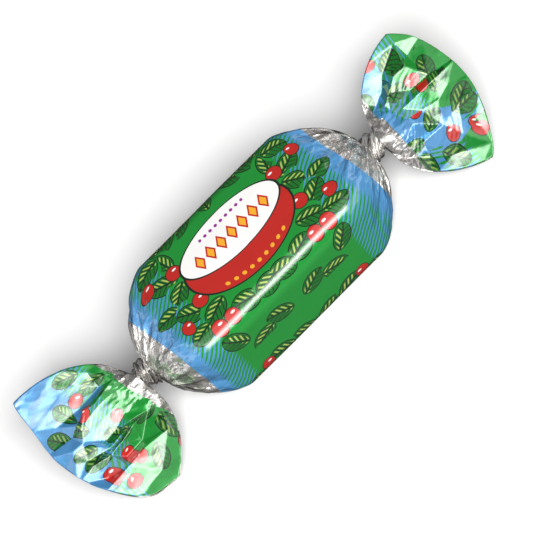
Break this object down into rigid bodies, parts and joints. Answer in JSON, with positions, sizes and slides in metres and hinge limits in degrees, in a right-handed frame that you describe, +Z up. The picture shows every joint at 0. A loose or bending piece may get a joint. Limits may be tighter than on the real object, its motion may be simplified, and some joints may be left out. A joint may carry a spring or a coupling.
{
  "type": "wrapped jelly candy",
  "caption": "Bar-shaped jelly candy in a shut twist wrapper of printed foil film, with a silver twisted neck and a creased fan at each end.",
  "frame": {"origin": "middle of the flat underside that the candy rests on", "axes": "+X along the candy from fan to fan, +Y towards the raised edges of the fans, +Z up from the flat underside"},
  "size_m": [0.0852, 0.0247, 0.0159],
  "materials": {
    "printed_film": "glossy metallised twist film, printed green and blue with leaves, berries and a bare oval plaque, and silver where it is unprinted"
  },
  "bodies": {
    "root": {"wrapped_candy": "printed_film"}
  },
  "joints": []
}
